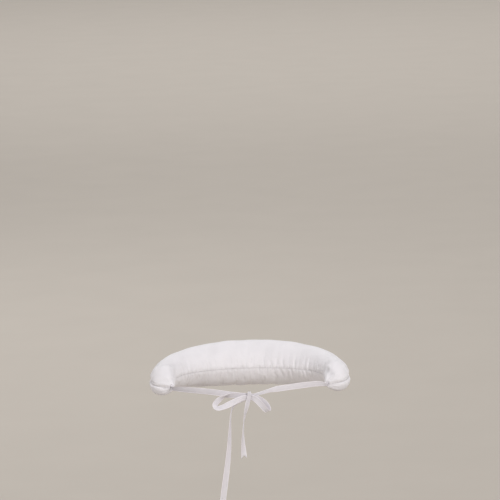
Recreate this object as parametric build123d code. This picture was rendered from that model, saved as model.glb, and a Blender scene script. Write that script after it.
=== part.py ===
from build123d import *
import os
from math import acos, ceil, cos, degrees, pi, sin, sqrt, tan

os.makedirs("parts", exist_ok=True)

# Roll in plan: its inner edge runs straight along each side, then round the back
hip_half_width = 141.0
side_depth = 28.0
back_reach = 114.0
end_length = 36.0
end_flat = 1.0
end_inset = 12.0

# Roll in section: narrow at the ends, fullest at the centre back
end_thickness = 49.0
back_thickness = 86.0
end_rise = 29.0
back_rise = 45.0
end_drop = 8.0
under_share = 0.89
upper_lean_share = 0.04
lower_lean_share = 0.19
end_lean_share = 0.1
crown_share = 0.045
plump_share = 0.92

# Seams and gathers
seam_dip = 1.5
gather_depth = 1.3
end_gather_depth = 1.3
end_gathers = 7

# Tapes
tape_width = 11.0
tape_thickness = 0.8
tape_step = 20.0

# Where the sections stand along a rounded end, from its flat tip to the start of the back's curve
end_station_share = [0.0, 0.05, 0.14, 0.27, 0.45, 0.7, 1.0]
end_gather_share = [0.0, 0.45, 0.9, 1.0, 0.6, 0.2, 0.0]

# How full each gather is, from the side to the centre back
gather_fullness_share = [0.55, 0.9, 0.6, 1.0, 0.7, 0.5, 0.85, 0.65, 1.0, 0.75]

# How strongly a gather shows from the outer seam, over the top or bottom, to the inner seam
gather_fade_share = [0.0, 0.85, 1.0, 0.75, 0.45, 0.2, 0.08, 0.05, 0.1, 0.2, 0.3, 0.25, 0.0]

# Left tape: from the left tip round the front, out of the knot in a loop, once round the knot and down
left_tie_route = [
    (-158.3, -7.0, -7.7), (-158.3, -14.5, -7.7), (-150.5, -25.0, -6.0), (-130.0, -44.5, -3.2),
    (-104.0, -69.5, -0.6), (-70.0, -90.5, 0.2), (-36.0, -101.5, -3.3), (-15.0, -104.2, -5.4),
    (-5.0, -104.5, -5.9), (2.5, -104.6, -6.1), (2.5, -106.4, -5.6), (-5.0, -106.5, -5.2),
    (-16.7, -107.6, -4.0), (-35.3, -110.5, -2.2), (-47.0, -113.0, -3.4), (-58.5, -116.5, -9.6),
    (-66.5, -122.0, -17.6), (-62.0, -126.5, -23.8), (-49.0, -126.0, -20.8), (-33.7, -121.5, -14.7),
    (-18.7, -115.4, -9.3), (-8.0, -113.0, -6.8), (-2.0, -112.7, -7.4), (-2.5, -112.6, -15.6),
    (-2.0, -103.1, -15.6), (-0.9, -102.6, 2.9), (-0.9, -114.6, 2.9), (-1.4, -114.9, -1.6),
    (-3.0, -115.4, -9.0), (-6.0, -115.7, -22.5), (-10.3, -114.4, -37.5), (-13.2, -113.0, -54.0),
    (-15.0, -111.7, -74.0), (-15.3, -110.8, -96.0), (-14.0, -110.0, -121.0),
]
left_tie_across_share = [
    (0, 0, 1), (0, 0, 1), (0, 0, 1), (0, 0, 1),
    (0, 0, 1), (0, 0, 1), (0, 0, 1), (0, 0, 1),
    (0, 0, 1), (0, 0, 1), (0, 0, 1), (0, 0, 1),
    (0, -0.1, 1), (0, -0.4, 0.9), (-0.1, -0.85, 0.5), (-0.6, -0.4, 0.7),
    (-0.8, -0.55, 0.1), (-0.4, -0.75, -0.55), (0.1, -0.7, -0.7), (0.3, -0.2, -0.93),
    (0.2, 0, -0.98), (0, 0, -1), (-0.7, 0, -0.7), (-1, 0, 0),
    (-1, 0, 0), (-1, 0, 0), (-1, 0, 0), (-1, 0, 0),
    (-1, 0, 0), (-0.85, -0.5, 0), (-0.4, -0.9, 0), (-0.12, -0.99, 0),
    (-0.2, -0.98, 0), (-0.6, -0.8, 0), (-0.95, -0.3, 0),
]
left_tie_width_share = [
    0.55, 0.5, 0.62, 0.9, 1, 1, 1, 1, 0.95, 0.9, 0.9, 0.92,
    0.97, 1, 1, 1, 1, 1, 1, 1, 0.98, 0.86, 0.48, 0.5,
    0.52, 0.52, 0.55, 0.57, 0.65, 0.8, 0.93, 1, 1, 1, 1,
]

# Right tape: from the right tip round the front, out of the knot in a flat loop, through it and down
right_tie_route = [
    (158.3, -7.0, -7.7), (158.3, -14.5, -7.7), (149.5, -24.5, -4.6), (129.5, -43.5, 1.2),
    (103.0, -69.0, 4.6), (69.5, -90.5, 5.4), (50.0, -97.6, 4.6), (36.5, -101.5, 2.8),
    (17.5, -105.6, -1.5), (8.5, -107.6, -4.2), (-4.0, -107.9, -5.6), (-4.0, -109.7, -6.2),
    (8.0, -109.8, -7.0), (17.6, -110.6, -11.0), (25.8, -111.8, -16.6), (32.2, -113.8, -24.8),
    (34.2, -116.5, -31.6), (32.8, -119.8, -33.2), (27.9, -121.2, -28.6), (20.4, -119.2, -19.6),
    (12.8, -114.8, -12.0), (5.6, -111.6, -8.0), (-2.8, -110.9, -6.6), (-13.1, -111.0, -9.6),
    (-23.5, -111.6, -15.4), (-31.7, -111.9, -22.7), (-35.5, -112.0, -33.9), (-37.6, -111.8, -51.1),
    (-39.0, -111.3, -76.0), (-42.0, -110.6, -114.0), (-48.6, -109.7, -160.0), (-55.6, -109.0, -204.0),
    (-60.5, -108.4, -246.0),
]
right_tie_across_share = [
    (0, 0, 1), (0, 0, 1), (0, 0, 1), (0, 0, 1),
    (0, 0, 1), (0, 0, 1), (0, 0, 1), (0, 0.1, 1),
    (0, 0.3, 0.95), (0, 0.2, 0.98), (0, 0, 1), (0, 0, 1),
    (0.2, 0, 1), (0.45, 0, 0.9), (0.65, 0, 0.76), (0.82, 0, 0.57),
    (0.92, 0, 0.38), (0.92, 0, 0.38), (0.82, 0, 0.57), (0.7, 0, 0.7),
    (0.5, 0, 0.86), (0.2, 0, 1), (0, 0, 1), (-0.3, -0.2, 0.95),
    (-0.4, -0.6, 0.7), (-0.35, -0.9, 0.25), (-0.15, -0.98, 0.1), (-0.2, -0.98, 0),
    (-0.5, -0.86, 0), (-0.8, -0.6, 0), (-0.97, -0.2, 0), (-1, 0, 0),
    (-1, 0, 0),
]
right_tie_width_share = [
    0.55, 0.5, 0.66, 0.92, 1, 1, 1, 0.64, 0.52, 0.55, 0.7, 0.8,
    0.9, 0.95, 1, 1, 1, 1, 1, 1, 1, 0.92, 0.78, 0.85,
    0.92, 1, 1, 1, 1, 1, 1, 1, 1,
]


def section(foot, outward, thickness, rise, seam_height, gather, end_gather, lean, side):
    """One upright slice through the roll: upper panel from outer to inner seam, lower panel back."""
    steps = len(gather_fade_share) - 1
    upper = (1, upper_lean_share, crown_share)
    lower = (-under_share, lower_lean_share, 0)
    panels = []
    for up, panel_lean, crown in (upper, lower):
        curve = []
        for step, fade in enumerate(gather_fade_share):
            turn = pi * step / steps
            swell = 1 + (gather * fade + end_gather * cos(end_gathers * turn)) / thickness
            sewn = step in (0, steps)
            dip = seam_dip * thickness / back_thickness if sewn else 0
            fullness = 0 if sewn else sin(turn) ** plump_share * (1 + crown * cos(turn))
            height = up * rise * fullness * swell
            middle = thickness / 2
            reach = middle + (middle - dip) * cos(turn) * swell - (panel_lean + lean) * height
            place = foot + outward * reach
            curve.append(Vector(side * place.X, place.Y, seam_height + height))
        panels.append(curve)
    evenly = [step / steps for step in range(steps + 1)]
    top_edge = Edge.make_spline(panels[0], parameters=evenly)
    bottom_edge = Edge.make_spline(panels[1][::-1], parameters=evenly)
    return Wire([top_edge, bottom_edge])


def half_sections(side):
    """The slices from a flat tip to the centre back, right for side 1 and left for side -1."""
    slices = []
    cut = end_flat / end_length
    for station, strength in zip(end_station_share, end_gather_share):
        along = cut + (1 - cut) * station
        growth = sqrt(1 - (1 - along) ** 2)
        foot_x = hip_half_width + end_inset * (1 - along) ** 2
        foot = Vector(foot_x, side_depth - end_length * (1 - along), 0)
        seam_height = -end_drop * (1 - along) ** 1.2
        ripple = end_gather_depth * strength * growth
        thickness = end_thickness * growth
        rise = end_rise * growth
        lean = end_lean_share * (1 - station)
        outward = Vector(1, 0, 0)
        slices.append(section(foot, outward, thickness, rise, seam_height, 0, ripple, lean, side))
    count = 2 * len(gather_fullness_share)
    for index in range(1, count + 1):
        turn = pi / 2 * index / count
        growth = sin(turn) ** 2 * (3 - sin(turn) ** 2) / 2
        thickness = end_thickness + (back_thickness - end_thickness) * growth
        rise = end_rise + (back_rise - end_rise) * growth
        depth = back_reach - side_depth
        foot = Vector(hip_half_width * cos(turn), side_depth + depth * sin(turn), 0)
        outward = Vector(cos(turn) / hip_half_width, sin(turn) / depth, 0).normalized()
        gather = gather_depth * gather_fullness_share[(index - 1) // 2] * (1 if index % 2 else -1)
        slices.append(section(foot, outward, thickness, rise, 0, gather, 0, 0, side))
    return slices


def tape(name, route, across, width):
    """A flat tape along straight runs joined by tangent arcs, turned and gathered as its lists say."""
    points = [Vector(*point) for point in route]
    runs = [(after - before).length for before, after in zip(points, points[1:])]
    bends = []
    for before, here, after in zip(points, points[1:], points[2:]):
        bends.append(acos((here - before).normalized().dot((after - here).normalized())))
    radii = [0.45 * min(pair) / tan(bend / 2) for pair, bend in zip(zip(runs, runs[1:]), bends)]
    path = FilletPolyline(*points, radius=radii)
    print(name, "radii", [round(radius, 1) for radius in radii], "length", round(path.length, 1))
    # Distances along the path where a run or an arc starts, and where each point's arc is halfway
    cuts = [radius * tan(bend / 2) for radius, bend in zip(radii, bends)]
    marks = [0]
    stations = [0]
    reached = 0
    for number, run in enumerate(runs):
        before = cuts[number - 1] if number > 0 else 0
        after = cuts[number] if number < len(cuts) else 0
        straight = run - before - after
        pieces = ceil(straight / tape_step)
        stations += [reached + straight * piece / pieces for piece in range(1, pieces + 1)]
        reached += straight
        if number < len(cuts):
            arc = radii[number] * bends[number]
            pieces = ceil(degrees(bends[number]) / 20)
            marks.append(reached + arc / 2)
            stations += [reached + arc * piece / pieces for piece in range(1, pieces + 1)]
            reached += arc
    marks.append(reached)
    frames = []
    leg = 0
    for station in stations:
        while leg < len(marks) - 2 and station > marks[leg + 1]:
            leg += 1
        share = (station - marks[leg]) / (marks[leg + 1] - marks[leg])
        wide = Vector(*across[leg]) * (1 - share) + Vector(*across[leg + 1]) * share
        place = path @ min(1, station / reached)
        heading = path % min(1, station / reached)
        half_width = tape_width / 2 * (width[leg] * (1 - share) + width[leg + 1] * share)
        wide = (wide - heading * wide.dot(heading)).normalized() * half_width
        thick = heading.cross(wide).normalized() * (tape_thickness / 2)
        upper_face = [place + wide + thick, place - wide + thick]
        lower_face = [place - wide - thick, place + wide - thick]
        frames.append(Wire.make_polygon(upper_face + lower_face, close=True))
    solid = Solid.make_loft(frames, ruled=True)
    print(name, "share of a flat tape's volume", solid.volume / (tape_width * tape_thickness * path.length))
    return solid


# Stuffed roll: both halves lofted as one from tip to tip, the left one read back from the centre
right_slices = half_sections(1)
left_slices = half_sections(-1)
stuffed_roll = Solid.make_loft(right_slices + left_slices[-2::-1])

# Ties, each sewn into a tip
left_tie = tape("left_tie", left_tie_route, left_tie_across_share, left_tie_width_share)
right_tie = tape("right_tie", right_tie_route, right_tie_across_share, right_tie_width_share)

for node, shape in {"stuffed_roll": stuffed_roll, "left_tie": left_tie, "right_tie": right_tie}.items():
    print(node, "volume", round(shape.volume), "valid", shape.is_valid)
    export_step(shape, f"parts/{node}.step")
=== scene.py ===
"""Bum roll: a stuffed crescent worn round the back of the waist, tied in front with two tapes."""

import bpy
import numpy as np
from bpy.props import FloatProperty, FloatVectorProperty, IntProperty, PointerProperty
from mathutils import Matrix, Vector


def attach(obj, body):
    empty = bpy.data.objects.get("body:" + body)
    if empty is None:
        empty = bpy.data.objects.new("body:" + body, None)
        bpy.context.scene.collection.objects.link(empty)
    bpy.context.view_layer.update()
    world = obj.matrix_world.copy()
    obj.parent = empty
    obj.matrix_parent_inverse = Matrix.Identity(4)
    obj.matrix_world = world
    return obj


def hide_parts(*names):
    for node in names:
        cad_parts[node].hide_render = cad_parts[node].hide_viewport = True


bl_info = {
    "name": "Bum roll",
    "version": (1, 0, 0),
    "blender": (4, 5, 0),
    "location": "View3D > Sidebar > Bum roll",
    "description": "A stuffed crescent and its two tapes, dressed over the packed frame",
    "category": "Object",
}

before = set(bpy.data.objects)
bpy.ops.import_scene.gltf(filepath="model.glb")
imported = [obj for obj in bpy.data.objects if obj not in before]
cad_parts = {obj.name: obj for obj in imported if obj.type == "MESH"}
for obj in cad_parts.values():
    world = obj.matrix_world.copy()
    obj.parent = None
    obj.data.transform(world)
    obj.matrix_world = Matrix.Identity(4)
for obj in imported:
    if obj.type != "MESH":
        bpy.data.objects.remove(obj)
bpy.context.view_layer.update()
RANDOM_SEED = 7

# The cover as it is cut, before it is stuffed, in metres and shares
HIP_HALF_WIDTH = 0.141
SIDE_DEPTH = 0.028
BACK_REACH = 0.114
END_LENGTH = 0.036
END_FLAT = 0.001
END_INSET = 0.002
END_FULLNESS_SHARE = 0.25
END_THICKNESS = 0.049
BACK_THICKNESS = 0.086
END_RISE = 0.029
BACK_RISE = 0.045
END_DROP = 0.008
END_DROP_POWER = 1.2
UNDER_SHARE = 0.9
LEAN_SHARE = 0.176
PLUMP_SHARE = 0.92
SEAM_CUT_SHARE = 0.985
SEAM_CUT_POWER = 8
SEAM_CROWDING = 0.22

# The cover's grid: rows on a rounded end and on half the back, columns round a section
END_ROWS = 24
BACK_ROWS = 116
COVER_COLUMNS = 76

# Where the cover closes on a tape: rings by their share of the last section's thickness and their
# step back in metres, and the tape's place across that section, from its inner edge
TIP_RINGS = [(0.1, 0.0004), (0.18, -0.0004), (0.42, -0.0009), (0.72, -0.0008)]
TIP_PLACE_SHARE = 0.38

# Soft creases pressed into the cover: start, end, half width and depth, in metres
CREASES = [
    ((-0.170, 0.026, 0.0270), (-0.150, 0.038, 0.0265), 0.0045, 0.0016),
    ((-0.150, 0.038, 0.0265), (-0.130, 0.066, 0.0220), 0.0045, 0.0014),
    ((-0.150, -0.001, 0.0055), (-0.148, 0.001, 0.0045), 0.0030, 0.0020),
    ((0.1555, -0.001, 0.0100), (0.147, 0.0105, 0.0155), 0.0060, 0.0026),
]

# The seams: turn round the section, strength of the groove, reach of the gathers in metres
SEAMS = [(0.0, 1.0, 0.014), (np.pi, 0.6, 0.02)]

# The cover's relief in metres: groove and swell at a seam, spacing of the gathers, waves round a
# tip and their reach, radius of girth from which the relief is full, and depth at which the painted
# shade in the hollows is darkest
GROOVE_WIDTH = 0.0022
SWELL_SHARE = 0.5
SWELL_PLACE = 0.0055
SWELL_WIDTH = 0.0035
GATHER_SPACING = 0.0125
PUCKER_WAVE = 9
PUCKER_REACH = 0.009
FULL_RELIEF_RADIUS = 0.012
HOLLOW_SHADE_DEPTH = 0.0025

# The gathers' pillows: least and most share of the spacing, of the full height and of the reach,
# and how many times as many are drawn as fit on average
PILLOW_LENGTHS = (0.55, 1.45)
PILLOW_HEIGHTS = (0.35, 1.0)
PILLOW_REACHES = (0.6, 1.5)
PILLOW_MARGIN = 1.5

# The stuffing's lumps: three waves along the roll, in radians per metre
LUMP_WAVES = (97, 151, 61)

# The cover's cotton: waves in radians per metre, noise in cells per metre, fades per metre
YARN_WAVE = 5200.0
STITCH_WAVE = 2400.0
CRUMPLE_CELLS = 55.0
COVER_SLUB_CELLS = 900.0
COVER_DRIFT_CELLS = 14.0
STREAK_CELLS = 190.0
STREAK_STRETCH_SHARE = 0.12
# Fade of the seam line, which is a groove in the bump and a line of painted shade in the colour
SEAM_LINE_FADE = 1500.0
STREAK_FADE = 55.0

# The tapes' cotton in the same units, and the distance from the middle where the selvedge starts
TWILL_WAVE = 4200.0
TAPE_SLUB_CELLS = 700.0
TAPE_DRIFT_CELLS = 30.0
SELVEDGE_START = 0.0041
SELVEDGE_FADE = 1400.0

# The tapes' cut: columns on a face, steps of line to a span, pleats across, turn of the curl along
# in radians, and depth of the curl and of the left end's notch in metres
TAPE_COLUMNS = 15
LINE_STEPS = 16
PLEAT_COUNT = 3
CURL_TURN = 9
CURL_DEPTH = 0.0004
LEFT_NOTCH = 0.006

# The tapes from their sewn ends: place, direction across, share of full width, depth of pleats
LEFT_TIE = [
    ((-0.1483, -0.0070, -0.0077), (0, 0, 1), 0.55, 0.001),
    ((-0.1483, -0.0145, -0.0077), (0, 0, 1), 0.5, 0.001),
    ((-0.1435, -0.0262, -0.0062), (0, 0, 1), 0.62, 0.0007),
    ((-0.1300, -0.0445, -0.0032), (0, 0, 1), 0.9, 0.0002),
    ((-0.1040, -0.0695, -0.0006), (0, 0, 1), 1, 0),
    ((-0.0700, -0.0905, 0.0002), (0, 0, 1), 1, 0),
    ((-0.0360, -0.1015, -0.0033), (0, 0, 1), 1, 0),
    ((-0.0150, -0.1042, -0.0054), (0, 0, 1), 1, 0.0001),
    ((-0.0050, -0.1045, -0.0059), (0, 0, 1), 0.95, 0.0002),
    ((0.0025, -0.1046, -0.0061), (0, 0, 1), 0.9, 0.0003),
    ((0.0025, -0.1064, -0.0056), (0, 0, 1), 0.9, 0.0003),
    ((-0.0050, -0.1065, -0.0052), (0, 0, 1), 0.92, 0.0002),
    ((-0.0167, -0.1076, -0.0040), (0, -0.1, 1), 0.97, 0.0001),
    ((-0.0353, -0.1105, -0.0022), (0, -0.4, 0.9), 1, 0),
    ((-0.0470, -0.1130, -0.0034), (-0.1, -0.85, 0.5), 1, 0),
    ((-0.0585, -0.1165, -0.0096), (-0.6, -0.4, 0.7), 1, 0),
    ((-0.0665, -0.1220, -0.0176), (-0.8, -0.55, 0.1), 1, 0),
    ((-0.0620, -0.1265, -0.0238), (-0.4, -0.75, -0.55), 1, 0),
    ((-0.0490, -0.1260, -0.0208), (0.1, -0.7, -0.7), 1, 0),
    ((-0.0337, -0.1215, -0.0147), (0.3, -0.2, -0.93), 1, 0.0001),
    ((-0.0187, -0.1154, -0.0093), (0.2, 0, -0.98), 0.98, 0.0003),
    ((-0.0080, -0.1130, -0.0068), (0, 0, -1), 0.86, 0.0005),
    ((-0.0020, -0.1127, -0.0074), (-0.7, 0, -0.7), 0.48, 0.0004),
    ((-0.0025, -0.1126, -0.0156), (-1, 0, 0), 0.5, 0.0004),
    ((-0.0020, -0.1031, -0.0156), (-1, 0, 0), 0.52, 0.0004),
    ((-0.0009, -0.1026, 0.0029), (-1, 0, 0), 0.52, 0.0004),
    ((-0.0009, -0.1146, 0.0029), (-1, 0, 0), 0.55, 0.0005),
    ((-0.0014, -0.1149, -0.0016), (-1, 0, 0), 0.57, 0.0005),
    ((-0.0030, -0.1154, -0.0090), (-1, 0, 0), 0.65, 0.00045),
    ((-0.0060, -0.1157, -0.0225), (-0.85, -0.5, 0), 0.8, 0.0003),
    ((-0.0103, -0.1144, -0.0375), (-0.4, -0.9, 0), 0.93, 0.0001),
    ((-0.0132, -0.1130, -0.0540), (-0.12, -0.99, 0), 1, 0),
    ((-0.0150, -0.1117, -0.0740), (-0.2, -0.98, 0), 1, 0),
    ((-0.0153, -0.1108, -0.0960), (-0.6, -0.8, 0), 1, 0),
    ((-0.0140, -0.1100, -0.1210), (-0.95, -0.3, 0), 1, 0),
]
RIGHT_TIE = [
    ((0.1483, -0.0070, -0.0077), (0, 0, 1), 0.55, 0.001),
    ((0.1483, -0.0145, -0.0077), (0, 0, 1), 0.5, 0.001),
    ((0.1430, -0.0260, -0.0048), (0, 0, 1), 0.66, 0.0007),
    ((0.1295, -0.0435, 0.0012), (0, 0, 1), 0.92, 0.0002),
    ((0.1030, -0.0690, 0.0046), (0, 0, 1), 1, 0),
    ((0.0695, -0.0905, 0.0054), (0, 0, 1), 1, 0),
    ((0.0500, -0.0976, 0.0046), (0, 0, 1), 1, 0),
    ((0.0365, -0.1015, 0.0028), (0, 0.1, 1), 0.64, 0.0002),
    ((0.0175, -0.1056, -0.0015), (0, 0.3, 0.95), 0.52, 0.0004),
    ((0.0085, -0.1076, -0.0042), (0, 0.2, 0.98), 0.55, 0.0005),
    ((-0.0040, -0.1079, -0.0056), (0, 0, 1), 0.7, 0.0005),
    ((-0.0040, -0.1097, -0.0062), (0, 0, 1), 0.8, 0.0004),
    ((0.0080, -0.1098, -0.0070), (0.2, 0, 1), 0.9, 0.0002),
    ((0.0176, -0.1106, -0.0110), (0.45, 0, 0.9), 0.95, 0.0001),
    ((0.0258, -0.1118, -0.0166), (0.65, 0, 0.76), 1, 0),
    ((0.0322, -0.1138, -0.0248), (0.8, -0.25, 0.55), 1, 0),
    ((0.0342, -0.1165, -0.0316), (0.76, -0.5, 0.42), 1, 0),
    ((0.0328, -0.1198, -0.0332), (0.76, -0.5, 0.42), 1, 0),
    ((0.0279, -0.1212, -0.0286), (0.74, -0.4, 0.54), 1, 0),
    ((0.0204, -0.1192, -0.0196), (0.7, -0.2, 0.68), 1, 0.0001),
    ((0.0128, -0.1148, -0.0120), (0.5, 0, 0.86), 1, 0.0003),
    ((0.0056, -0.1116, -0.0080), (0.2, 0, 1), 0.92, 0.0005),
    ((-0.0028, -0.1109, -0.0066), (0, 0, 1), 0.78, 0.0005),
    ((-0.0131, -0.1110, -0.0096), (-0.3, -0.2, 0.95), 0.85, 0.0004),
    ((-0.0235, -0.1116, -0.0154), (-0.4, -0.6, 0.7), 0.92, 0.0002),
    ((-0.0317, -0.1119, -0.0227), (-0.35, -0.9, 0.25), 1, 0.0001),
    ((-0.0355, -0.1120, -0.0339), (-0.15, -0.98, 0.1), 1, 0),
    ((-0.0376, -0.1118, -0.0511), (-0.2, -0.98, 0), 1, 0),
    ((-0.0390, -0.1113, -0.0760), (-0.5, -0.86, 0), 1, 0),
    ((-0.0420, -0.1106, -0.1140), (-0.8, -0.6, 0), 1, 0),
    ((-0.0486, -0.1097, -0.1600), (-0.97, -0.2, 0), 1, 0),
    ((-0.0556, -0.1090, -0.2040), (-1, 0, 0), 1, 0),
    ((-0.0605, -0.1084, -0.2460), (-1, 0, 0), 1, 0),
]

# The camera: lens in millimetres, place and sight in metres, tilt and roll in degrees
LENS = 189.36
CAMERA_PLACE = (0.00664, -4.88747, 1.06977)
CAMERA_SIGHT = 150.0
CAMERA_TILT = 9.5
CAMERA_ROLL = 1.4

# The stage: the floor's size in metres, cells of its mottle per metre, and the sky's colour
FLOOR_SIZE = 120.0
MOTTLE_CELLS = 3.0
SKY_COLOUR = (1.0, 0.99, 0.98, 1.0)

# The lights: name, place, target and size in metres, and the setting that holds the power
LIGHTS = [
    ("Key light", (3.6, -5.2, 4.4), (0.0, 0.0, 0.0), 2.5, "key_power"),
    ("Fill light", (-5.0, -5.0, 2.0), (0.0, 0.0, 0.0), 4.0, "fill_power"),
    ("Back light", (-2.0, 6.0, 4.5), (0.0, 0.0, 0.0), 3.0, "back_power"),
    ("Wash light", (0.0, 11.5, 6.5), (0.0, 13.0, 0.0), 8.0, "wash_power"),
    ("Far light", (0.0, 18.0, 13.0), (0.0, 30.0, 0.0), 10.0, "far_power"),
]


class Value:
    """A shader value that Python arithmetic carries on with Math nodes."""

    def __init__(self, tree, socket):
        self.tree = tree
        self.socket = socket

    def math(self, operation, *others):
        """Put this value and then the others through one Math node."""
        return math_node(self.tree, operation, self, *others)

    def __add__(self, other):
        return self.math("ADD", other)

    __radd__ = __add__

    def __sub__(self, other):
        return self.math("SUBTRACT", other)

    def __rsub__(self, number):
        return math_node(self.tree, "SUBTRACT", number, self)

    def __mul__(self, other):
        return self.math("MULTIPLY", other)

    __rmul__ = __mul__


def fill(tree, place, entry):
    """Link a value into a socket, or set the socket to a constant."""
    if isinstance(entry, Value):
        tree.links.new(entry.socket, place)
    else:
        place.default_value = entry


def math_node(tree, operation, *entries):
    """Put values and numbers, in their order, through one Math node."""
    node = tree.nodes.new("ShaderNodeMath")
    node.operation = operation
    for place, entry in zip(node.inputs, entries):
        fill(tree, place, entry)
    return Value(tree, node.outputs[0])


class Fabric:
    """A cloth or paper material under construction."""

    grain = 0.55
    specular = 0.25
    sheen_roughness = 0.4

    def __init__(self, name):
        self.material = bpy.data.materials.new(name)
        self.material.use_nodes = True
        self.tree = self.material.node_tree
        self.tree.nodes.clear()

    def node(self, kind, settings, sockets, output=0):
        """Add one node: its settings first, then its sockets; give one of its outputs."""
        node = self.tree.nodes.new(kind)
        for key, setting in settings.items():
            setattr(node, key, setting)
        for key, entry in sockets.items():
            fill(self.tree, node.inputs[key], entry)
        return Value(self.tree, node.outputs[output])

    def place(self):
        """Give the place on the piece, in object coordinates."""
        return self.node("ShaderNodeTexCoord", {}, {}, 3)

    def cloth_map(self):
        """Give the distances along and across the cloth, from its UV map."""
        uv = self.node("ShaderNodeUVMap", {"uv_map": "Cloth"}, {})
        return [self.node("ShaderNodeSeparateXYZ", {}, {"Vector": uv}, axis) for axis in (0, 1)]

    def attribute(self, name):
        """Give a number that the mesh keeps at its points."""
        return self.node("ShaderNodeAttribute", {"attribute_name": name}, {}, 2)

    def noise(self, place, scale, detail):
        """Give a noise value from 0 to 1 at a place."""
        sockets = {"Vector": place, "Scale": scale, "Detail": detail, "Roughness": self.grain}
        return self.node("ShaderNodeTexNoise", {}, sockets)

    def mixed(self, share, first, second):
        """Mix two colours by a share."""
        sockets = {0: share, 6: first, 7: second}
        return self.node("ShaderNodeMix", {"data_type": "RGBA"}, sockets, 2)

    def finish(self, colour, roughness, height, distance, sheen):
        """Close the tree with a bump, a Principled shader and the output."""
        bump = self.node("ShaderNodeBump", {}, {"Height": height, "Distance": distance})
        shader = self.tree.nodes.new("ShaderNodeBsdfPrincipled")
        fill(self.tree, shader.inputs["Base Color"], colour)
        fill(self.tree, shader.inputs["Roughness"], roughness)
        fill(self.tree, shader.inputs["Normal"], bump)
        shader.inputs["Specular IOR Level"].default_value = self.specular
        shader.inputs["Sheen Weight"].default_value = sheen
        shader.inputs["Sheen Roughness"].default_value = self.sheen_roughness
        output = self.tree.nodes.new("ShaderNodeOutputMaterial")
        self.tree.links.new(shader.outputs[0], output.inputs["Surface"])
        return self.material


def toned(colour, share):
    """Give a colour lightened or deepened by a share, with full alpha."""
    return (*(share * part for part in colour), 1.0)


def cover_cotton(white):
    """Make the cover's plain-woven cotton.

    Yarn height is a sine along times a sine across, so crossings stand up and lie down in turn.
    Slubs and soft crumples are noise, and so are the streaks that run off the seams.  The tone
    drifts with wide noise.  Painted shade darkens the cloth where the cover is pressed in, by an
    attribute that holds how deep each place is pressed, and a thin line of painted shade, rising
    and falling with the stitches, runs where the attribute "seam", the distance to the nearest
    seam, falls to nothing; that line is also a groove in the bump.
    """
    fabric = Fabric("Cover cotton")
    place = fabric.place()
    along, across = fabric.cloth_map()
    # How deep the cover is pressed in here, from 0 to 1: the mask of the painted shade in the
    # hollows
    hollow = fabric.attribute("hollow")
    seam = fabric.attribute("seam")
    stitches = 0.75 + (along * STITCH_WAVE).math("SINE") * 0.25
    # The seam line: a groove in the bump and a thin line of painted shade in the colour, rising and
    # falling with the stitches
    seam_groove_and_shade = (1.0 - seam * SEAM_LINE_FADE).math("MAXIMUM", 0.0) * stitches
    yarns = (along * YARN_WAVE).math("SINE") * (across * YARN_WAVE).math("SINE")
    crumple = fabric.noise(place, CRUMPLE_CELLS, 3.0)
    slub = fabric.noise(place, COVER_SLUB_CELLS, 1.0)
    drift = fabric.noise(place, COVER_DRIFT_CELLS, 2.0)
    drawn = fabric.node("ShaderNodeCombineXYZ", {}, {0: along, 1: across * STREAK_STRETCH_SHARE})
    streaks = fabric.noise(drawn, STREAK_CELLS, 2.0) - 0.5
    beside = (1.0 - seam * STREAK_FADE).math("MAXIMUM", 0.0)
    height = yarns * 0.08 + slub * 0.18 + crumple - seam_groove_and_shade * 0.7 + streaks * beside * 2.2
    plain = fabric.mixed(drift, toned(white, 0.965), toned(white, 1.03))
    flecked = fabric.mixed(slub * 0.25, plain, toned(white, 1.06))
    # Painted shade: the cloth deepens towards a darker tone where the cover is pressed in
    shaded_hollows = fabric.mixed(hollow * 0.6, flecked, toned(white, 0.77))
    # A thin line of painted shade along each seam, over the painted shade in the hollows
    colour = fabric.mixed(seam_groove_and_shade * 0.65, shaded_hollows, toned(white, 0.6))
    roughness = 0.82 + crumple * 0.12 - yarns * 0.03
    return fabric.finish(colour, roughness, height, distance=0.0012, sheen=0.25)


def tape_cotton(white):
    """Make the tapes' twill-woven cotton.

    Twill ribs are a sine of the distance along plus the distance from the middle line, which turns
    them into a herringbone; the selvedge is a firmer, paler band at each edge.
    """
    fabric = Fabric("Tape cotton")
    place = fabric.place()
    along, across = fabric.cloth_map()
    middle = across.math("ABSOLUTE")
    ribs = ((along + middle) * TWILL_WAVE).math("SINE")
    past = (middle - SELVEDGE_START) * SELVEDGE_FADE
    edge = past.math("MAXIMUM", 0.0).math("MINIMUM", 1.0)
    slub = fabric.noise(place, TAPE_SLUB_CELLS, 2.0)
    drift = fabric.noise(place, TAPE_DRIFT_CELLS, 2.0)
    height = ribs * 0.22 + slub * 0.4 + edge * 0.5
    plain = fabric.mixed(drift, toned(white, 0.93), toned(white, 1.01))
    colour = fabric.mixed(edge * 0.9, plain, toned(white, 1.15))
    roughness = 0.78 + slub * 0.15 - edge * 0.05
    return fabric.finish(colour, roughness, height, distance=0.0006, sheen=0.15)


def closed_grid(rows, columns):
    """Give the quads of a grid of rows whose last column meets its first.

    Quad (r, c) joins row r and r + 1 at column c and the next column round.
    """
    row, column = np.meshgrid(np.arange(rows - 1), np.arange(columns), indexing="ij")
    here = row * columns + column
    beside = row * columns + (column + 1) % columns
    return np.stack([here, beside, beside + columns, here + columns], axis=-1).reshape(-1, 4)


def folded_cap(start, columns):
    """Give the quads that close one ring folded flat: place c on one face to its twin behind."""
    near = np.arange(columns // 2 - 1)
    far = columns - 1 - near
    return start + np.stack([near, far, far - 1, near + 1], axis=-1)


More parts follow.
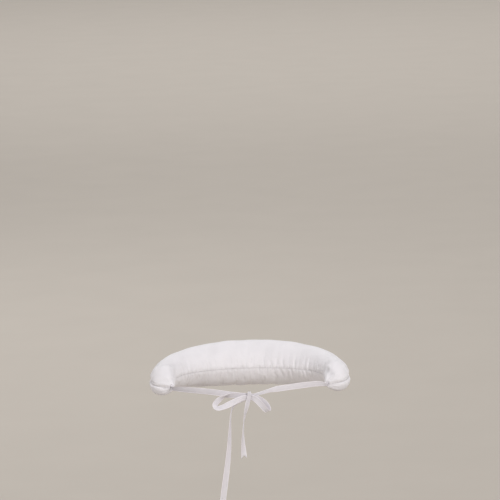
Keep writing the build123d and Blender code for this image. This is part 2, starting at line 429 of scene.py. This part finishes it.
def cloth_piece(name, points, quads, uv, material):
    """Make a smooth mesh object from point, quad and UV arrays."""
    mesh = bpy.data.meshes.new(name)
    mesh.from_pydata(points.tolist(), [], quads.tolist())
    layer = mesh.uv_layers.new(name="Cloth")
    layer.data.foreach_set("uv", uv[quads.ravel()].ravel())
    mesh.polygons.foreach_set("use_smooth", np.ones(len(quads), dtype=bool))
    mesh.materials.append(material)
    mesh.update()
    piece = bpy.data.objects.new(name, mesh)
    bpy.context.collection.objects.link(piece)
    return piece


def unit(vectors):
    """Scale each vector in an array to length one."""
    return vectors / np.linalg.norm(vectors, axis=-1, keepdims=True)


def tie_line(name, route):
    """Draw a tie's route as a NURBS spline and read back the points of the line it makes."""
    curve = bpy.data.curves.new(name, "CURVE")
    curve.dimensions = "3D"
    curve.resolution_u = LINE_STEPS
    spline = curve.splines.new("NURBS")
    spline.points.add(len(route) - 1)
    spline.points.foreach_set("co", np.column_stack([route, np.ones(len(route))]).ravel())
    spline.order_u = 3
    spline.use_endpoint_u = True
    holder = bpy.data.objects.new(name, curve)
    line = bpy.data.meshes.new_from_object(holder)
    points = np.empty(3 * len(line.vertices))
    line.vertices.foreach_get("co", points)
    bpy.data.objects.remove(holder)
    bpy.data.curves.remove(curve)
    bpy.data.meshes.remove(line)
    return points.reshape(-1, 3)


def along_line(count, table):
    """Spread a table with one row per route point over the line's points.

    A clamped quadratic spline of n points feels point i most at (i - 0.5) / (n - 2) of its length
    in spans, and the first and last points at 0 and 1; rows between are straight-line mixes.
    """
    table = np.asarray(table, dtype=float)
    rows = len(table)
    keys = np.clip((np.arange(rows) - 0.5) / (rows - 2), 0.0, 1.0)
    places = np.linspace(0.0, 1.0, count)
    return np.stack([np.interp(places, keys, column) for column in table.T], axis=-1)


def tape_ribbon(line, across, width, pleat, curl, notch, settings):
    """Work out a tape's two faces as rings round its line.

    Ring place t runs from -1 to 1 over one face and back over the other.  A point is the line plus
    t half widths across, plus (pleat cos n pi t for n pleats + curl t t, then half the thickness
    either way) along the face's own direction.  The last width of line is drawn out or cut back by
    the notch times (|t| - 1/2), so that the cut end shows two points.
    """
    spread = np.sin(np.linspace(-np.pi / 2, np.pi / 2, TAPE_COLUMNS))
    place = np.concatenate([spread, spread[::-1]])
    side = np.repeat([1.0, -1.0], TAPE_COLUMNS)
    forward = unit(np.gradient(line, axis=0))
    across = unit(across - forward * np.sum(across * forward, axis=1, keepdims=True))
    face = np.cross(across, forward)
    run = np.concatenate([[0.0], np.cumsum(np.linalg.norm(np.diff(line, axis=0), axis=1))])
    half = settings.width / 2
    lift = pleat[:, None] * np.cos(PLEAT_COUNT * np.pi * place) + curl[:, None] * place**2
    lift = lift + side * settings.thickness / 2
    near_end = np.clip(1 - (run[-1] - run) / (2 * half), 0, 1)[:, None]
    push = near_end * notch * (np.abs(place) - 0.5)
    offset = half * width[:, None] * place
    points = (
        line[:, None, :]
        + offset[..., None] * across[:, None, :]
        + lift[..., None] * face[:, None, :]
        + push[..., None] * forward[:, None, :]
    )
    uv = np.stack(np.broadcast_arrays(run[:, None], half * place[None, :]), axis=-1)
    return points.reshape(-1, 3), uv.reshape(-1, 2), len(place), run[-1]


def make_tie(name, node, table, curl, notch, material, settings):
    """The curl along the tape is a sine of the share of its length.
    """
    route, across, width, pleat = zip(*table)
    line = tie_line(name, route)
    shares = along_line(len(line), np.column_stack([across, width, pleat]))
    bend = curl * np.sin(np.linspace(0, CURL_TURN, len(line)))
    points, uv, columns, length = tape_ribbon(
        line, shares[:, :3], shares[:, 3], shares[:, 4], bend, notch, settings
    )
    rows = len(line)
    quads = np.concatenate(
        [
            closed_grid(rows, columns),
            folded_cap(0, columns),
            folded_cap((rows - 1) * columns, columns)[:, ::-1],
        ]
    )
    piece = cloth_piece(name, points, quads, uv, material)
    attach(piece, "root")
    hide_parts(node)


def half_crescent():
    """Work out the sections of half the crescent, from the tip to the middle of the back.

    On the rounded end the section's size is the sine of an angle that rises to a right angle, with
    the fullness share added to its thickness towards the tip, and the foot of the section runs back
    by the cosine.  Rings close the first section about the tape's place.  Round the back the foot
    follows a quarter ellipse, and the size grows from the side's to the back's by
    s s (3 - s s) / 2 of the sine s.
    Columns: foot x and y, outward x and y, seam height, thickness, rise.
    """
    first = np.arccos(1 - END_FLAT / END_LENGTH)
    angle = np.linspace(first, np.pi / 2, END_ROWS, endpoint=False)
    ahead = np.cos(angle)
    size = np.sin(angle)
    end = np.stack(
        [
            HIP_HALF_WIDTH + END_INSET * ahead**2,
            SIDE_DEPTH - END_LENGTH * ahead,
            np.ones(END_ROWS),
            np.zeros(END_ROWS),
            -END_DROP * ahead**END_DROP_POWER,
            END_THICKNESS * size * (1 + END_FULLNESS_SHARE * ahead**2),
            END_RISE * size,
        ],
        axis=-1,
    )
    share, step = np.array(TIP_RINGS).T
    tip = np.repeat(end[:1], len(share), axis=0)
    tip[:, 0] += TIP_PLACE_SHARE * tip[:, 5] * (1 - share)
    tip[:, 1] += step
    tip[:, 5] *= share
    turn = np.linspace(0, np.pi / 2, BACK_ROWS)
    depth = BACK_REACH - SIDE_DEPTH
    square = np.sin(turn) ** 2
    growth = square * (3 - square) / 2
    outward = unit(np.stack([np.cos(turn) / HIP_HALF_WIDTH, np.sin(turn) / depth], axis=-1))
    back = np.column_stack(
        [
            HIP_HALF_WIDTH * np.cos(turn),
            SIDE_DEPTH + depth * np.sin(turn),
            outward,
            np.zeros(BACK_ROWS),
            END_THICKNESS + (BACK_THICKNESS - END_THICKNESS) * growth,
            END_RISE + (BACK_RISE - END_RISE) * growth,
        ]
    )
    return np.concatenate([tip, end, back])


def crescent(slimness):
    """Work out the whole crescent as a grid of points, with its turns, its run and its UV map.

    Round a section the turn t runs from the outer seam over the top to the inner seam and back
    under.  The section is cut to the slimness, and towards the seams to the seam's share, by a
    power of cos t.  Height is the cut rise times sin t to the plump share, and less below the
    seams; reach is half the thickness times (1 + the cut cos t), less the lean share of the height.
    Columns crowd towards both seams.
    """
    half = half_crescent()
    other = half[-2::-1].copy()
    other[:, [0, 2]] *= -1
    sections = np.concatenate([half, other])
    foot_x, foot_y, out_x, out_y, seam, thickness, rise = sections.T[..., None]
    even = np.arange(COVER_COLUMNS) / COVER_COLUMNS * 2 * np.pi
    turn = even - SEAM_CROWDING * np.sin(2 * even)
    sine = np.sin(turn)
    under = np.where(sine < 0, UNDER_SHARE, 1.0)
    cut = slimness + (SEAM_CUT_SHARE - slimness) * np.cos(turn) ** SEAM_CUT_POWER
    height = cut * rise * under * np.sign(sine) * np.abs(sine) ** PLUMP_SHARE
    reach = thickness / 2 * (1 + cut * np.cos(turn)) - LEAN_SHARE * height
    points = np.stack(
        np.broadcast_arrays(foot_x + out_x * reach, foot_y + out_y * reach, seam + height), axis=-1
    )
    middle = points.mean(axis=1)
    run = np.concatenate([[0.0], np.cumsum(np.linalg.norm(np.diff(middle, axis=0), axis=1))])
    girth = (thickness + 2 * rise) / 2
    around = girth * np.abs(np.mod(turn + np.pi, 2 * np.pi) - np.pi)
    uv = np.stack(np.broadcast_arrays(run[:, None], around), axis=-1)
    return points, turn, run, uv


def grid_normals(points):
    """Give the outward direction at each place of a grid whose columns close round.

    It is the cross product of the slope round the section and the slope along the roll.
    """
    along = np.gradient(points, axis=0)
    around = np.roll(points, -1, axis=1) - np.roll(points, 1, axis=1)
    normal = np.cross(along, around)
    return normal / np.maximum(np.linalg.norm(normal, axis=-1, keepdims=True), 1e-12)


def stuff(piece, held, settings):
    """Blow the cover out with cloth simulation, held along its seams, and give its new points.

    The cloth is grown by the ease, pressed out by the stuffing with no weight on it, and no point
    may end further from where it was cut than the most give.
    """
    group = piece.vertex_groups.new(name="sewn")
    group.add(np.flatnonzero(held).tolist(), 1.0, "REPLACE")
    modifier = piece.modifiers.new("Stuffing", "CLOTH")
    cloth = modifier.settings
    cloth.quality = 6
    cloth.mass = 0.2
    cloth.tension_stiffness = 20
    cloth.compression_stiffness = 20
    cloth.shear_stiffness = 6
    cloth.bending_stiffness = 0.4
    cloth.use_pressure = True
    cloth.uniform_pressure_force = settings.pressure
    cloth.shrink_min = -settings.ease
    cloth.vertex_group_mass = group.name
    cloth.effector_weights.gravity = 0
    count = len(piece.data.vertices)
    cut = np.empty(3 * count)
    piece.data.vertices.foreach_get("co", cut)
    for step in range(1, settings.steps + 1):
        bpy.context.scene.frame_set(step)
    filled = np.empty(3 * count)
    solved = piece.evaluated_get(bpy.context.evaluated_depsgraph_get())
    solved.data.vertices.foreach_get("co", filled)
    piece.modifiers.remove(modifier)
    bpy.context.scene.frame_set(1)
    move = (filled - cut).reshape(-1, 3)
    length = np.maximum(np.linalg.norm(move, axis=1, keepdims=True), 1e-9)
    return cut.reshape(-1, 3) + move * np.minimum(1, settings.give / length)


def bell(distance):
    """Fade from 1 at no distance d to nothing, as exp(-d d)."""
    return np.exp(-(distance**2))


def crease_depth(points):
    """Add up the depth of the soft creases: each fades as a bell with distance from its segment."""
    depth = np.zeros(points.shape[:-1])
    for start, end, width, most in CREASES:
        start = np.array(start)
        leg = np.array(end) - start
        share = np.clip((points - start) @ leg / (leg @ leg), 0, 1)
        gap = np.linalg.norm(points - start - share[..., None] * leg, axis=-1)
        depth += most * bell(gap / width)
    return depth


def seam_distance(turn, girth, centre):
    """Give the distance round the section from a seam: the radius of its girth times the turn."""
    return girth * np.abs(np.mod(turn - centre + np.pi, 2 * np.pi) - np.pi)


def gathered(run, off, reach, rng):
    """Give the puckers that a gathered seam sets in the cloth beside it, from -1 to 1.

    Along the seam the cloth stands in pillows of uneven length: over a pillow's share f the height
    is 4 f (1 - f) less its mean of two thirds, times the pillow's own size.  Each pillow fades as a
    bell with the distance off the seam, over a reach of its own.
    """
    count = int(run[-1] / GATHER_SPACING * PILLOW_MARGIN)
    lengths = rng.uniform(*PILLOW_LENGTHS, count) * GATHER_SPACING
    edges = np.concatenate([[-GATHER_SPACING], np.cumsum(lengths)])
    pillow = np.clip(np.searchsorted(edges, run, side="right") - 1, 0, count - 1)
    share = (run - edges[pillow]) / (edges[pillow + 1] - edges[pillow])
    size = rng.uniform(*PILLOW_HEIGHTS, count)[pillow]
    fade = reach * rng.uniform(*PILLOW_REACHES, count)[pillow]
    height = (4 * share * (1 - share) - 2 / 3) * size
    return height[:, None] * bell(off / fade[:, None])


def seam_relief(run, turn, girth, settings):
    """Give the height of the seams, their gathers, the tips' puckers and the lumps over the grid.

    Off a seam by a distance d the cover dips by a narrow bell and rises again by a wider one, with
    gathers on each side.  Round each tip a wave of the turn fades with the distance from the tip.
    The lumps are three waves of the run and the turn.
    """
    rng = np.random.default_rng(RANDOM_SEED)
    upper = np.sin(turn) > 0
    relief = np.zeros((len(run), len(turn)))
    for centre, strength, reach in SEAMS:
        off = seam_distance(turn, girth, centre)
        groove = -settings.seam_depth * bell(off / GROOVE_WIDTH)
        swell = SWELL_SHARE * settings.seam_depth * bell((off - SWELL_PLACE) / SWELL_WIDTH)
        above = gathered(run, off, reach, rng)
        below = gathered(run, off, reach, rng)
        gathers = settings.gather_depth * np.where(upper, above, below)
        relief = relief + strength * (groove + swell) + gathers
    from_tip = np.minimum(run, run[-1] - run)[:, None]
    wave = np.cos(PUCKER_WAVE * turn + 1.1 * np.sin(2 * turn + 0.6))
    puckers = wave * bell(from_tip / PUCKER_REACH)
    first, second, third = (run[:, None] * rate for rate in LUMP_WAVES)
    lumps = (
        np.sin(first + 2 * np.sin(turn + 0.4))
        + np.sin(second - 3 * turn + 1.7)
        + np.sin(third + 2 * turn + 4.1)
    )
    return relief + settings.pucker_depth * puckers + settings.lump_depth * lumps / 3


def sewn_places(rows, columns):
    """Mark the grid's places that sewing holds: both seams and the rings at each tip."""
    tips = len(TIP_RINGS) + 2
    held = np.zeros((rows, columns), dtype=bool)
    held[:tips] = True
    held[-tips:] = True
    held[:, [0, columns // 2]] = True
    return held.ravel()


def keep_at_points(mesh, name, numbers):
    """Keep an array with one number for each point as an attribute of a mesh."""
    attribute = mesh.attributes.new(name, "FLOAT", "POINT")
    attribute.data.foreach_set("value", numbers.ravel())


def sew(mesh, points, turn, run, settings):
    """Press seams, gathers, puckers, lumps and creases into the stuffed cover.

    Each point moves along its outward direction by the relief, which fades where the girth narrows
    to a tip.  The distance to the nearer seam stays with the mesh for the material's streaks,
    groove and line of painted shade by the seams, and the depth of the hollows for its painted
    shade in them.
    """
    steps = np.linalg.norm(np.roll(points, -1, axis=1) - points, axis=-1)
    girth = steps.sum(axis=1)[:, None] / (2 * np.pi)
    relief = seam_relief(run, turn, girth, settings) - crease_depth(points)
    relief = relief * np.clip(girth / FULL_RELIEF_RADIUS, 0, 1)
    points = points + relief[..., None] * grid_normals(points)
    mesh.vertices.foreach_set("co", points.ravel())
    outer, inner = (seam_distance(turn, girth, centre) for centre, _, _ in SEAMS)
    keep_at_points(mesh, "seam", np.minimum(outer, inner))
    # How deep each place is pressed in, kept for the material's painted shade in the hollows
    keep_at_points(mesh, "hollow", np.clip(-relief / HOLLOW_SHADE_DEPTH, 0, 1))
    mesh.update()


def lay_floor(settings):
    bpy.ops.mesh.primitive_plane_add(size=FLOOR_SIZE, location=(0, 0, settings.floor_height))
    floor = bpy.context.object
    floor.name = "Floor"
    paper = Fabric("Pale paper")
    mottle = paper.noise(paper.place(), MOTTLE_CELLS, 3.0)
    deeper = toned(settings.floor_colour, 0.97)
    paler = toned(settings.floor_colour, 1.03)
    colour = paper.mixed(mottle, deeper, paler)
    floor.data.materials.append(paper.finish(colour, 0.9, mottle, distance=0.0002, sheen=0.0))


def hang_lights(settings):
    """Hang the round lights, each turned to its target, under a soft sky."""
    world = bpy.data.worlds.new("Soft sky")
    world.use_nodes = True
    sky = world.node_tree.nodes["Background"]
    sky.inputs["Color"].default_value = SKY_COLOUR
    sky.inputs["Strength"].default_value = settings.sky
    bpy.context.scene.world = world
    for name, place, target, size, power in LIGHTS:
        lamp = bpy.data.lights.new(name, "AREA")
        lamp.shape = "DISK"
        lamp.size = size
        lamp.energy = getattr(settings, power)
        light = bpy.data.objects.new(name, lamp)
        light.location = place
        aim = Vector(target) - Vector(place)
        light.rotation_euler = aim.to_track_quat("-Z", "Y").to_euler()
        bpy.context.collection.objects.link(light)


def place_camera():
    """Place the camera: tilted down from level, then rolled about its own line of sight."""
    lens = bpy.data.cameras.new("Camera")
    lens.lens = LENS
    lens.clip_end = CAMERA_SIGHT
    camera = bpy.data.objects.new("Camera", lens)
    tilt = Matrix.Rotation(np.radians(90 - CAMERA_TILT), 4, "X")
    roll = Matrix.Rotation(np.radians(-CAMERA_ROLL), 4, "Z")
    camera.matrix_world = Matrix.Translation(CAMERA_PLACE) @ tilt @ roll
    bpy.context.collection.objects.link(camera)
    bpy.context.scene.camera = camera


class RollSettings(bpy.types.PropertyGroup):
    """How the crescent is cut, stuffed and sewn."""

    colour: FloatVectorProperty(
        name="Colour",
        description="White of the cover's cotton",
        default=(0.885, 0.855, 0.885),
        subtype="COLOR",
    )
    slimness: FloatProperty(
        name="Cut",
        description="Size of the cover before it is stuffed",
        default=0.97,
        subtype="FACTOR",
    )
    pressure: FloatProperty(
        name="Pressure", description="How hard the stuffing presses on the cover", default=40.0
    )
    ease: FloatProperty(
        name="Ease",
        description="Share by which the cover's cloth gives",
        default=0.03,
        subtype="FACTOR",
    )
    give: FloatProperty(
        name="Most give", description="Furthest the cover may move", default=0.012, unit="LENGTH"
    )
    steps: IntProperty(name="Steps", description="Frames the stuffing takes", default=20)
    seam_depth: FloatProperty(
        name="Seam", description="Depth of the seam's groove", default=0.0009, unit="LENGTH"
    )
    gather_depth: FloatProperty(
        name="Gathers",
        description="Height of the gathers at the seams",
        default=0.0016,
        unit="LENGTH",
    )
    lump_depth: FloatProperty(
        name="Lumps", description="Height of the stuffing's lumps", default=0.0007, unit="LENGTH"
    )
    pucker_depth: FloatProperty(
        name="Puckers",
        description="Height of the puckers at the tips",
        default=0.0006,
        unit="LENGTH",
    )


class TieSettings(bpy.types.PropertyGroup):
    """The tape the ties are cut from."""

    colour: FloatVectorProperty(
        name="Colour",
        description="White of the tape's cotton",
        default=(0.835, 0.795, 0.832),
        subtype="COLOR",
    )
    width: FloatProperty(
        name="Width", description="Width of the tape laid flat", default=0.011, unit="LENGTH"
    )
    thickness: FloatProperty(
        name="Thickness", description="Thickness of the tape", default=0.0008, unit="LENGTH"
    )


class StageSettings(bpy.types.PropertyGroup):
    """The floor and the light."""

    floor_colour: FloatVectorProperty(
        name="Floor colour",
        description="Colour of the floor",
        default=(0.52, 0.475, 0.425),
        subtype="COLOR",
    )
    floor_height: FloatProperty(
        name="Floor", description="Height of the floor", default=-0.95, unit="LENGTH"
    )
    key_power: FloatProperty(
        name="Key",
        description="Power of the large light on the right",
        default=290.0,
        unit="POWER",
    )
    fill_power: FloatProperty(
        name="Fill", description="Power of the light on the left", default=95.0, unit="POWER"
    )
    back_power: FloatProperty(
        name="Back", description="Power of the light behind", default=150.0, unit="POWER"
    )
    wash_power: FloatProperty(
        name="Wash",
        description="Power of the light on the floor behind",
        default=170.0,
        unit="POWER",
    )
    far_power: FloatProperty(
        name="Far",
        description="Power of the light on the floor far behind",
        default=1000.0,
        unit="POWER",
    )
    sky: FloatProperty(name="Sky", description="Strength of the light all round", default=0.5)


class SetStage(bpy.types.Operator):
    """Set the floor, the soft light and the camera"""

    bl_idname = "bum_roll.set_stage"
    bl_label = "Set the stage"

    def execute(self, context):
        settings = context.scene.bum_roll_stage
        context.scene.view_settings.view_transform = "Standard"
        lay_floor(settings)
        hang_lights(settings)
        place_camera()
        return {"FINISHED"}


class MakeTies(bpy.types.Operator):
    """Make the two tapes, from the roll's tips to the bow and its tails"""

    bl_idname = "bum_roll.make_ties"
    bl_label = "Make the ties"

    def execute(self, context):
        settings = context.scene.bum_roll_ties
        cotton = tape_cotton(settings.colour)
        ties = (
            ("left_tie_tape", "left_tie", LEFT_TIE, CURL_DEPTH, LEFT_NOTCH),
            ("right_tie_tape", "right_tie", RIGHT_TIE, -CURL_DEPTH, 0.0),
        )
        for name, node, table, curl, notch in ties:
            make_tie(name, node, table, curl, notch, cotton, settings)
        return {"FINISHED"}


class MakeRoll(bpy.types.Operator):
    """Cut, stuff and sew the crescent"""

    bl_idname = "bum_roll.make_roll"
    bl_label = "Make the roll"

    def execute(self, context):
        settings = context.scene.bum_roll_roll
        points, turn, run, uv = crescent(settings.slimness)
        rows, columns = points.shape[:2]
        quads = np.concatenate(
            [
                closed_grid(rows, columns)[:, ::-1],
                folded_cap(0, columns)[:, ::-1],
                folded_cap((rows - 1) * columns, columns),
            ]
        )
        cotton = cover_cotton(settings.colour)
        piece = cloth_piece("roll_cover", points.reshape(-1, 3), quads, uv.reshape(-1, 2), cotton)
        points = stuff(piece, sewn_places(rows, columns), settings).reshape(points.shape)
        sew(piece.data, points, turn, run, settings)
        smooth = piece.modifiers.new("Finer cloth", "SUBSURF")
        smooth.levels = 1
        smooth.render_levels = 1
        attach(piece, "root")
        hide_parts("stuffed_roll")
        return {"FINISHED"}


class BumRollPanel(bpy.types.Panel):
    """Settings and steps for the bum roll"""

    bl_idname = "VIEW3D_PT_bum_roll"
    bl_label = "Bum roll"
    bl_space_type = "VIEW_3D"
    bl_region_type = "UI"
    bl_category = "Bum roll"

    def draw(self, context):
        groups = (
            (context.scene.bum_roll_stage, SetStage),
            (context.scene.bum_roll_ties, MakeTies),
            (context.scene.bum_roll_roll, MakeRoll),
        )
        for settings, operator in groups:
            box = self.layout.box()
            for key in settings.__annotations__:
                box.prop(settings, key)
            box.operator(operator.bl_idname)


CLASSES = (RollSettings, TieSettings, StageSettings, SetStage, MakeTies, MakeRoll, BumRollPanel)


def register():
    """Register the classes and hang the settings on the scene."""
    for entry in CLASSES:
        bpy.utils.register_class(entry)
    bpy.types.Scene.bum_roll_stage = PointerProperty(type=StageSettings)
    bpy.types.Scene.bum_roll_ties = PointerProperty(type=TieSettings)
    bpy.types.Scene.bum_roll_roll = PointerProperty(type=RollSettings)


def unregister():
    """Take the settings off the scene and unregister the classes."""
    del bpy.types.Scene.bum_roll_roll
    del bpy.types.Scene.bum_roll_ties
    del bpy.types.Scene.bum_roll_stage
    for entry in reversed(CLASSES):
        bpy.utils.unregister_class(entry)


def main():
    """Make the stage, the ties and the roll."""
    register()
    bpy.ops.bum_roll.set_stage()
    bpy.ops.bum_roll.make_ties()
    bpy.ops.bum_roll.make_roll()


if __name__ == "__main__":
    main()
